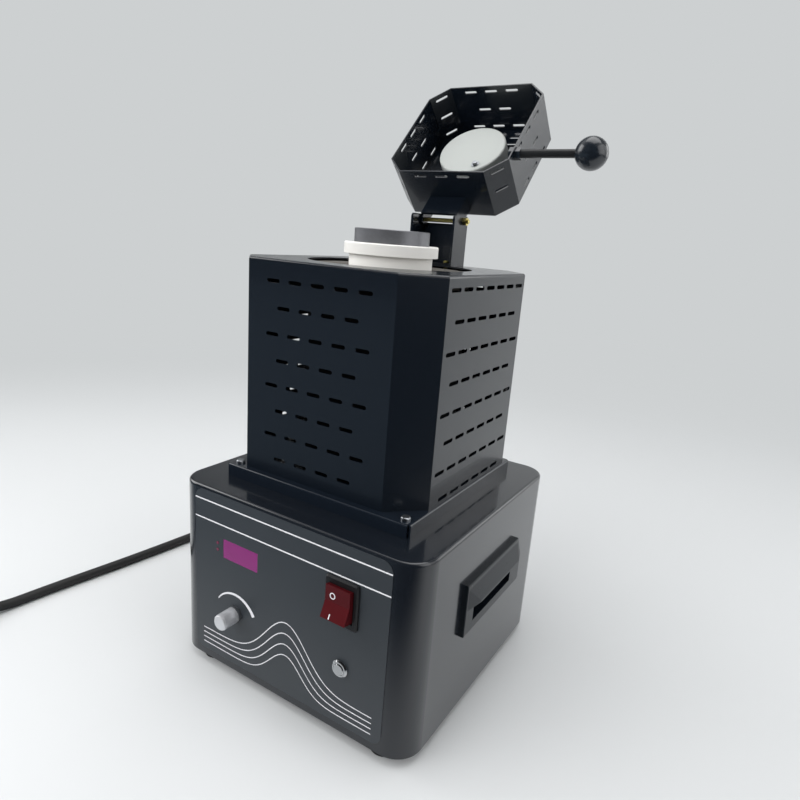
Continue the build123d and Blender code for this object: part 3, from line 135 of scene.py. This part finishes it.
def make_world():
    """Pale where the camera sees it. In reflections the room behind the camera is dark."""
    world = bpy.data.worlds.new("studio")
    bpy.context.scene.world = world
    world.use_nodes = True
    nodes = world.node_tree.nodes
    links = world.node_tree.links
    place = nodes.new("ShaderNodeTexCoord")
    parts = nodes.new("ShaderNodeSeparateXYZ")
    depth = fade(nodes, -0.70, 0.10, WORLD_FRONT, WORLD_REAR)
    links.new(place.outputs["Generated"], parts.inputs["Vector"])
    links.new(parts.outputs["Y"], depth.inputs["Value"])
    seen = nodes.new("ShaderNodeLightPath")
    strength = nodes.new("ShaderNodeMix")
    strength.inputs[3].default_value = WORLD_SEEN
    links.new(seen.outputs["Is Camera Ray"], strength.inputs[0])
    links.new(depth.outputs["Result"], strength.inputs[2])
    background = nodes["Background"]
    background.inputs["Color"].default_value = WORLD_COLOUR
    links.new(strength.outputs[0], background.inputs["Strength"])


def make_lights():
    bpy.context.scene.view_settings.view_transform = "Standard"
    add_light("tent_top", (0.1, 0.2, 1.9), (0, 0, 0), (1.6, 1.4), 14)
    add_light("tent_right", (1.5, 0.1, 0.9), (0, 0, 0.1), (1.6, 1.4), 8)
    add_light("tent_left", (-1.5, -0.4, 1.1), (0, 0, 0.1), (1.0, 1.0), 10)
    add_light("tent_rear_right", (0.95, 1.3, 0.75), (0, 0.1, 0.35), (0.9, 0.9), 4)
    fill = add_light("front_fill", (-0.5, -1.25, 0.9), (0, 0, 0.2), (1.6, 1.2), 20)
    fill.visible_glossy = False


def glow_over(material, under, spread, ray):
    """Lays a glow over the shader output `under`, by the share that `spread` gives, for one
    kind of ray. Gives the glow and the new output."""
    nodes = material.node_tree.nodes
    links = material.node_tree.links
    seen = nodes.new("ShaderNodeLightPath")
    share = nodes.new("ShaderNodeMath")
    share.operation = "MULTIPLY"
    links.new(spread.outputs["Result"], share.inputs[0])
    links.new(seen.outputs[ray], share.inputs[1])
    glow = nodes.new("ShaderNodeEmission")
    mixed = nodes.new("ShaderNodeMixShader")
    links.new(share.outputs["Value"], mixed.inputs["Fac"])
    links.new(under, mixed.inputs[1])
    links.new(glow.outputs["Emission"], mixed.inputs[2])
    return glow, mixed.outputs["Shader"]


def sheet_material():
    """White sheet. Away from the furnace the camera sees it evenly pale, as a lit tent's wall.
    Towards the camera its reflection fades into the room, which is dark on the right."""
    material = surface("sheet", srgb("d6d8d9"), 0.6, grain=(3, 0.01, 0.1, 0))
    nodes = material.node_tree.nodes
    links = material.node_tree.links
    place = nodes.new("ShaderNodeTexCoord")
    reach = nodes.new("ShaderNodeVectorMath")
    reach.operation = "LENGTH"
    far = fade(nodes, 0.35, 1.30)
    links.new(place.outputs["Object"], reach.inputs[0])
    links.new(reach.outputs["Value"], far.inputs["Value"])
    output = nodes["Principled BSDF"].outputs["BSDF"]
    glow, output = glow_over(material, output, far, "Is Camera Ray")
    glow.inputs["Color"].default_value = (*srgb(BACKDROP_SEEN), 1)

    parts = nodes.new("ShaderNodeSeparateXYZ")
    towards_camera = fade(nodes, -0.06, -0.30)
    links.new(place.outputs["Object"], parts.inputs["Vector"])
    links.new(parts.outputs["Y"], towards_camera.inputs["Value"])
    leftwards = fade(nodes, 0.15, -0.30)
    links.new(parts.outputs["X"], leftwards.inputs["Value"])
    room = nodes.new("ShaderNodeMix")
    room.data_type = "RGBA"
    room.inputs[6].default_value = ROOM_RIGHT
    room.inputs[7].default_value = ROOM_LEFT
    links.new(leftwards.outputs["Result"], room.inputs[0])
    glow, output = glow_over(material, output, towards_camera, "Is Glossy Ray")
    links.new(room.outputs[2], glow.inputs["Color"])
    links.new(output, nodes["Material Output"].inputs["Surface"])
    return material


def make_sweep():
    """White sheet that lies on the table and curves up behind the furnace."""
    front = -2.6
    bend_start = 0.95
    bend_radius = 0.60
    top = 4.0
    half = 6.5
    bend_steps = 16
    profile = [(front, 0.0), (bend_start, 0.0)]
    for step in range(1, bend_steps + 1):
        turn = radians(90 * step / bend_steps)
        profile.append((bend_start + bend_radius * sin(turn), bend_radius * (1 - cos(turn))))
    profile.append((bend_start + bend_radius, top))
    points = [(x, y, z) for y, z in profile for x in (-half, half)]
    faces = [(2 * row, 2 * row + 1, 2 * row + 3, 2 * row + 2) for row in range(len(profile) - 1)]
    mesh = bpy.data.meshes.new("sweep")
    mesh.from_pydata(points, [], faces)
    for face in mesh.polygons:
        face.use_smooth = True
    mesh.materials.append(sheet_material())
    sweep = bpy.data.objects.new("sweep", mesh)
    bpy.context.collection.objects.link(sweep)


# ---- materials ----
def surface(name, colour, roughness, metallic=0.0, coat=0.0, grain=(400, 0.05, 0.08, 0.02), **sockets):
    """Principled material whose colour and roughness drift with noise. Grain is the noise's
    scale, its share of the colour, its share of the roughness and its bump. Sockets are
    further inputs by name, with _ for a space."""
    scale, colour_drift, rough_drift, bump = grain
    material = bpy.data.materials.new(name)
    material.use_nodes = True
    nodes = material.node_tree.nodes
    links = material.node_tree.links
    shader = nodes["Principled BSDF"]
    place = nodes.new("ShaderNodeTexCoord")
    noise = nodes.new("ShaderNodeTexNoise")
    noise.inputs["Scale"].default_value = scale
    noise.inputs["Detail"].default_value = 4
    links.new(place.outputs["Object"], noise.inputs["Vector"])

    mix = nodes.new("ShaderNodeMix")
    mix.data_type = "RGBA"
    mix.inputs[6].default_value = (*[part * (1 - colour_drift) for part in colour], 1)
    mix.inputs[7].default_value = (*[min(1, part * (1 + colour_drift)) for part in colour], 1)
    links.new(noise.outputs["Fac"], mix.inputs[0])
    links.new(mix.outputs[2], shader.inputs["Base Color"])

    spread = nodes.new("ShaderNodeMapRange")
    spread.inputs["To Min"].default_value = max(0.02, roughness - rough_drift)
    spread.inputs["To Max"].default_value = min(1.0, roughness + rough_drift)
    links.new(noise.outputs["Fac"], spread.inputs["Value"])
    links.new(spread.outputs["Result"], shader.inputs["Roughness"])

    shader.inputs["Metallic"].default_value = metallic
    shader.inputs["Coat Weight"].default_value = coat
    for socket, value in sockets.items():
        shader.inputs[socket.replace("_", " ")].default_value = value
    if bump:
        height = nodes.new("ShaderNodeBump")
        height.inputs["Strength"].default_value = bump
        height.inputs["Distance"].default_value = 0.0004
        links.new(noise.outputs["Fac"], height.inputs["Height"])
        links.new(height.outputs["Normal"], shader.inputs["Normal"])
    return material


def srgb(code):
    """Linear colour of a six-figure sRGB code."""
    parts = [int(code[start:start + 2], 16) / 255 for start in (0, 2, 4)]
    return tuple(part / 12.92 if part <= 0.04045 else ((part + 0.055) / 1.055) ** 2.4 for part in parts)


def make_materials():
    return {
        "base_paint": surface("base_paint", (0.008, 0.0105, 0.015), 0.19, coat=0.42,
                              grain=(260, 0.05, 0.03, 0.01)),
        "plate_paint": surface("plate_paint", (0.008, 0.012, 0.019), 0.15, coat=0.3,
                               grain=(220, 0.05, 0.03, 0.01)),
        "furnace_paint": surface("furnace_paint", (0.0055, 0.0085, 0.0135), 0.22, coat=0.2,
                                 grain=(300, 0.06, 0.03, 0.01)),
        "overlay_film": surface("overlay_film", (0.033, 0.039, 0.046), 0.34, grain=(900, 0.03, 0.05, 0.03)),
        "print": surface("print", srgb("e0e0e4"), 0.5, grain=(500, 0.03, 0.05, 0)),
        "window_tint": surface("window_tint", srgb("80286c"), 0.12, coat=0.5, grain=(60, 0.08, 0.03, 0)),
        "lamp_lens": surface("lamp_lens", srgb("6a2c44"), 0.18, coat=0.6, grain=(300, 0.05, 0.04, 0)),
        "black_plastic": surface("black_plastic", srgb("1a1b1d"), 0.42, grain=(700, 0.06, 0.08, 0.05)),
        "gloss_black": surface("gloss_black", srgb("191f26"), 0.24, coat=0.4, grain=(90, 0.05, 0.04, 0)),
        "handle_black": surface("handle_black", (0.006, 0.009, 0.013), 0.26,
                                grain=(500, 0.05, 0.04, 0.02), Specular_IOR_Level=0.25),
        "rocker_red": surface("rocker_red", srgb("4a0c12"), 0.34, grain=(200, 0.05, 0.04, 0),
                              Specular_IOR_Level=0.3),
        "silver": surface("silver", srgb("e6e7ea"), 0.24, metallic=0.6, grain=(90, 0.03, 0.03, 0)),
        "chrome": surface("chrome", srgb("d6d8da"), 0.10, metallic=1.0, grain=(300, 0.03, 0.05, 0)),
        "zinc": surface("zinc", srgb("cfc27a"), 0.32, metallic=1.0, grain=(500, 0.08, 0.08, 0.03)),
        "steel": surface("steel", srgb("a9acb0"), 0.34, metallic=1.0, grain=(500, 0.05, 0.08, 0.03)),
        "graphite": surface("graphite", srgb("76777b"), 0.36, metallic=0.5, grain=(520, 0.12, 0.10, 0.06)),
        "white_ceramic": surface("white_ceramic", srgb("f3f2ee"), 0.70, grain=(160, 0.02, 0.08, 0.06)),
        # grey copy of the white ceramic: painted shade on the lid plug's face
        "shaded_grey_ceramic": surface("shaded_grey_ceramic", srgb("b9bdba"), 0.70, grain=(160, 0.02, 0.08, 0.06)),
        # fibre is darkened to mid-grey as painted shade for the dark inside of the furnace mouth
        "fibre": surface("fibre", srgb("64615c"), 0.92, grain=(140, 0.10, 0.05, 0.30)),
        # near-black fibre: painted shade, for the jacket seen in shadow through the casing's slots
        "painted_shade_fibre": surface("painted_shade_fibre", srgb("151515"), 0.95, grain=(140, 0.15, 0.04, 0.20)),
        "copper": surface("copper", srgb("c07a54"), 0.30, metallic=1.0, grain=(300, 0.10, 0.08, 0.02)),
        "circuit_board": surface("circuit_board", srgb("1f5c3a"), 0.40, grain=(200, 0.08, 0.08, 0)),
        "rubber": surface("rubber", srgb("161616"), 0.55, grain=(300, 0.10, 0.10, 0.04)),
        "ferrite": surface("ferrite", srgb("3a3a3c"), 0.60, grain=(300, 0.10, 0.08, 0.05)),
        "sink_alloy": surface("sink_alloy", srgb("b2b5b9"), 0.36, metallic=1.0,
                              grain=(300, 0.05, 0.08, 0.02)),
        "capacitor_sleeve": surface("capacitor_sleeve", srgb("1c2c5a"), 0.30, coat=0.3,
                                    grain=(200, 0.05, 0.05, 0)),
        "winding_tape": surface("winding_tape", srgb("b8983c"), 0.45, grain=(200, 0.08, 0.08, 0.03)),
    }


def paint_nodes(materials):
    """Every node takes the material of its slot; a few take a closer one."""
    closer = {"side_handle_right": "handle_black", "side_handle_left": "handle_black",
              # the jacket takes a near-black fibre as painted shade inside the slots
              "insulation_jacket": "painted_shade_fibre", "lid_handle_nuts": "gloss_black",
              # the lid plug takes a greyed ceramic as painted shade on its face
              "lid_plug": "shaded_grey_ceramic"}
    for part in frame["record"]["subparts"]:
        name = part["node"]
        if name not in frame["nodes"]:
            continue
        node = frame["nodes"][name]
        node.data.materials.clear()
        node.data.materials.append(materials[closer.get(name, part["material_slot"])])


# ---- mesh helpers ----
def mesh_piece(name, points, faces, material, body, smooth=False):
    mesh = bpy.data.meshes.new(name)
    mesh.from_pydata([tuple(point) for point in points], [], faces)
    mesh.validate()
    work = bmesh.new()
    work.from_mesh(mesh)
    bmesh.ops.recalc_face_normals(work, faces=work.faces)
    work.to_mesh(mesh)
    work.free()
    for face in mesh.polygons:
        face.use_smooth = smooth
    mesh.materials.append(material)
    piece = bpy.data.objects.new(name, mesh)
    bpy.context.collection.objects.link(piece)
    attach(piece, body)
    return piece


def strip_shape(line, widths, thick, across):
    """Points and faces of a flat strip along a line of (x, z) points, `thick` deep towards -Y."""
    points = []
    for index, (x, z) in enumerate(line):
        before = line[max(0, index - 1)]
        after = line[min(len(line) - 1, index + 1)]
        along = Vector((after[0] - before[0], after[1] - before[1])).normalized()
        side = Vector((-along.y, along.x)) * widths[index] / 2
        for y in (across, across - thick):
            points.append((x + side.x, y, z + side.y))
            points.append((x - side.x, y, z - side.y))
    faces = []
    for index in range(len(line) - 1):
        low = 4 * index
        high = low + 4
        faces += [(low, low + 1, high + 1, high), (low + 2, high + 2, high + 3, low + 3),
                  (low, high, high + 2, low + 2), (low + 1, low + 3, high + 3, high + 1)]
    last = 4 * (len(line) - 1)
    faces += [(0, 2, 3, 1), (last, last + 1, last + 3, last + 2)]
    return points, faces


def joined(shapes):
    """Several (points, faces) shapes as one."""
    points = []
    faces = []
    for shape_points, shape_faces in shapes:
        start = len(points)
        points += shape_points
        faces += [tuple(index + start for index in face) for face in shape_faces]
    return points, faces


# ---- print on the front panel ----
PRINT_THICK = 0.00006
RULE_WIDTH = 0.0010
RULE_HEIGHTS = (0.1403, 0.1253)
RULE_MARGIN = 0.0002                # from the overlay's sides to the rules' ends
KNOB_ARC_MIDDLE = (KNOB_X - 0.0007, 0.0525)
KNOB_ARC_RADIUS = 0.0210
KNOB_ARC_START = 146
KNOB_ARC_END = 28
KNOB_ARC_THIN = 0.0009
KNOB_ARC_GROWTH = 0.0021
SWELL_ROWS = 4
SWELL_MARGIN = 0.008
SWELL_MIDDLE = 0.004
SWELL_LINE = 0.0007


def straight(x1, z1, x2, z2, width=RULE_WIDTH):
    return strip_shape([(x1, z1), (x2, z2)], [width, width], PRINT_THICK, PANEL_Y)


def arc_line(x, z, radius, start, end, steps=24):
    """Points (x, z) of an arc between two angles in degrees."""
    turns = [radians(start + (end - start) * step / steps) for step in range(steps + 1)]
    return [(x + radius * cos(turn), z + radius * sin(turn)) for turn in turns]


def make_panel_rules(materials):
    """Two long rules under the header and the swelling arc over the knob."""
    left = PANEL_LOW[0] + RULE_MARGIN
    right = PANEL_HIGH[0] - RULE_MARGIN
    shapes = [straight(left, height, right, height) for height in RULE_HEIGHTS]
    arc = arc_line(*KNOB_ARC_MIDDLE, KNOB_ARC_RADIUS, KNOB_ARC_START, KNOB_ARC_END)
    widths = [KNOB_ARC_THIN + KNOB_ARC_GROWTH * step / (len(arc) - 1) for step in range(len(arc))]
    shapes.append(strip_shape(arc, widths, PRINT_THICK, PANEL_Y))
    points, faces = joined(shapes)
    mesh_piece("panel_rules", points, faces, materials["print"], "housing")


def make_panel_tracery(materials):
    """Nested swells along the foot of the panel, from side to side."""
    left = PANEL_LOW[0] + SWELL_MARGIN
    right = PANEL_HIGH[0] - SWELL_MARGIN
    steps = 60
    shapes = []
    for row in range(SWELL_ROWS):
        foot = 0.0200 + 0.0042 * row
        swell = 0.0250 + 0.0045 * row
        spread = 0.0200 + 0.0022 * row
        line = []
        for step in range(steps + 1):
            x = left + (right - left) * step / steps
            line.append((x, foot + swell * exp(-((x - SWELL_MIDDLE) / spread) ** 2)))
        shapes.append(strip_shape(line, [SWELL_LINE] * len(line), PRINT_THICK, PANEL_Y))
    points, faces = joined(shapes)
    mesh_piece("panel_tracery", points, faces, materials["print"], "housing")


# ---- marks on the rocker ----
ROCKER_TILT = -12.5
ROCKER_PROUD = 0.0063
ROCKER_LIFT = 0.2217                # rise of each face per unit of height from the middle
MARK_THICK = 0.00008
RING_MIDDLE = (-0.0039, 0.0042)
RING_RADIUS = 0.0019
RING_LINE = 0.0007
BAR_X = -0.0031
BAR_BOTTOM = -0.0106
BAR_TOP = -0.0074
BAR_LINE = 0.0008


def rocker_frame():
    """The rocker's own frame: its axle's place, tipped so that its upper face is pressed in."""
    joint = JOINTS["rocker_tilt"]
    return Matrix.Translation(joint["pos_m"]) @ Matrix.Rotation(radians(ROCKER_TILT), 4, "X")


def make_rocker_marks(materials):
    """Ring on the upper face and bar on the lower one."""
    ring = arc_line(*RING_MIDDLE, RING_RADIUS, 0, 360, 28)
    bar = [(BAR_X, BAR_BOTTOM), (BAR_X, BAR_TOP)]
    shapes = [strip_shape(ring, [RING_LINE] * len(ring), MARK_THICK, 0),
              strip_shape(bar, [BAR_LINE, BAR_LINE], MARK_THICK, 0)]
    points, faces = joined(shapes)
    place = rocker_frame()
    placed = []
    for x, y, z in points:
        placed.append(place @ Vector((x, y - ROCKER_PROUD - ROCKER_LIFT * abs(z), z)))
    mesh_piece("rocker_marks", placed, faces, materials["print"], "rocker")


# ---- the mains lead ----
def loop_point(angle):
    """Middle of the wound lead after `angle` degrees: spiral in, climb, spiral out."""
    innermost = 360.0 * LOOPS_PER_LAYER
    climb = 180.0
    radius = LOOP_OUTER_RADIUS - LOOP_STEP / 360.0 * (innermost - abs(angle - innermost))
    climbed = min(1.0, max(0.0, (angle - innermost + climb / 2) / climb))
    rise = (1 - cos(pi * climbed)) / 2
    turn = radians(angle)
    return Vector((LOOP_CENTRE[0] + radius * cos(turn), LOOP_CENTRE[1] + radius * sin(turn),
                   CORD_RADIUS + LOOP_STEP * rise))


def cord_route():
    """Control points of the whole lead: in from the gland, round the coil and out to the plug."""
    base_rear = 0.1075
    route = [(GLAND_X, base_rear - 0.006, GLAND_Z), (GLAND_X, 0.142, GLAND_Z),
             (GLAND_X, 0.176, CORD_RADIUS)]
    steps = round(LOOP_END / 360 * POINTS_PER_TURN)
    coil = [loop_point(LOOP_END * step / steps) for step in range(steps + 1)]
    route += [tuple(point) for point in coil]
    away = (loop_point(LOOP_END) - loop_point(LOOP_END - 0.5)).normalized()
    over = coil[-1] + away * 0.040
    landed = coil[-1] + away * 0.088
    route += [tuple(over), (landed.x, landed.y, CORD_RADIUS), (-0.232, 0.112, CORD_RADIUS),
              (-0.242, 0.030, CORD_RADIUS), (-0.249, -0.048, CORD_RADIUS), (-0.260, -0.128, CORD_RADIUS),
              (-0.264, -0.172, CORD_RADIUS), (-0.2655, -0.206, PLUG_RADIUS), (-0.2665, -0.240, PLUG_RADIUS)]
    return route


def make_cord(materials):
    route = cord_route()
    data = bpy.data.curves.new("mains_lead", "CURVE")
    data.dimensions = "3D"
    data.bevel_depth = CORD_RADIUS
    data.bevel_resolution = 4
    data.resolution_u = 6
    spline = data.splines.new("NURBS")
    spline.points.add(len(route) - 1)
    for point, place in zip(spline.points, route):
        point.co = (*place, 1)
    spline.order_u = 3
    spline.use_endpoint_u = True
    data.materials.append(materials["rubber"])
    lead = bpy.data.objects.new("mains_lead", data)
    bpy.context.collection.objects.link(lead)
    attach(lead, "housing")
    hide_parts("cord_lead_in", "cord_coil", "cord_run")
    make_gland_relief(materials)
    boot = make_plug_relief(materials, route)


def tapered_sleeve(name, start, direction, profile, materials):
    """Turned rubber piece along a direction: profile is a list of (distance, radius)."""
    sides = 32
    turn = Vector(direction).to_track_quat("Z", "Y").to_matrix()
    points = []
    for distance, radius in profile:
        for side in range(sides):
            angle = 2 * pi * side / sides
            points.append(Vector(start) + turn @ Vector((radius * cos(angle), radius * sin(angle), distance)))
    faces = []
    for row in range(len(profile) - 1):
        for side in range(sides):
            beside = (side + 1) % sides
            faces.append((row * sides + side, row * sides + beside, (row + 1) * sides + beside,
                          (row + 1) * sides + side))
    return mesh_piece(name, points, faces, materials["rubber"], "housing", smooth=True)


def relief_profile(length, wide, narrow):
    """Profile of a tapered sleeve with shallow grooves round it."""
    grooves = 5
    depth = 0.0006
    lip = 0.0002
    inside = CORD_RADIUS - 0.0003
    profile = [(0, inside), (0, wide)]
    for groove in range(grooves):
        share = (groove + 0.35) / grooves
        radius = wide + (narrow - wide) * share
        profile += [(length * share, radius), (length * (share + 0.03), radius - depth),
                    (length * (share + 0.10), radius - depth),
                    (length * (share + 0.13), radius - lip)]
    return profile + [(length, narrow), (length, inside)]


def make_gland_relief(materials):
    start = (GLAND_X, GLAND_END - 0.0005, GLAND_Z)
    profile = relief_profile(0.022, 0.0068, 0.0050)
    return tapered_sleeve("gland_relief", start, (0, 1, 0), profile, materials)


def make_plug_relief(materials, route):
    end = Vector(route[-1])
    back = (Vector(route[-2]) - end).normalized()
    start = end + back * 0.004
    profile = relief_profile(0.030, 0.0064, 0.0048)
    return tapered_sleeve("plug_relief", start, back, profile, materials)


make_camera()
make_world()
make_lights()
make_sweep()
MATERIALS = make_materials()
paint_nodes(MATERIALS)
make_cord(MATERIALS)
make_panel_rules(MATERIALS)
make_panel_tracery(MATERIALS)
make_rocker_marks(MATERIALS)
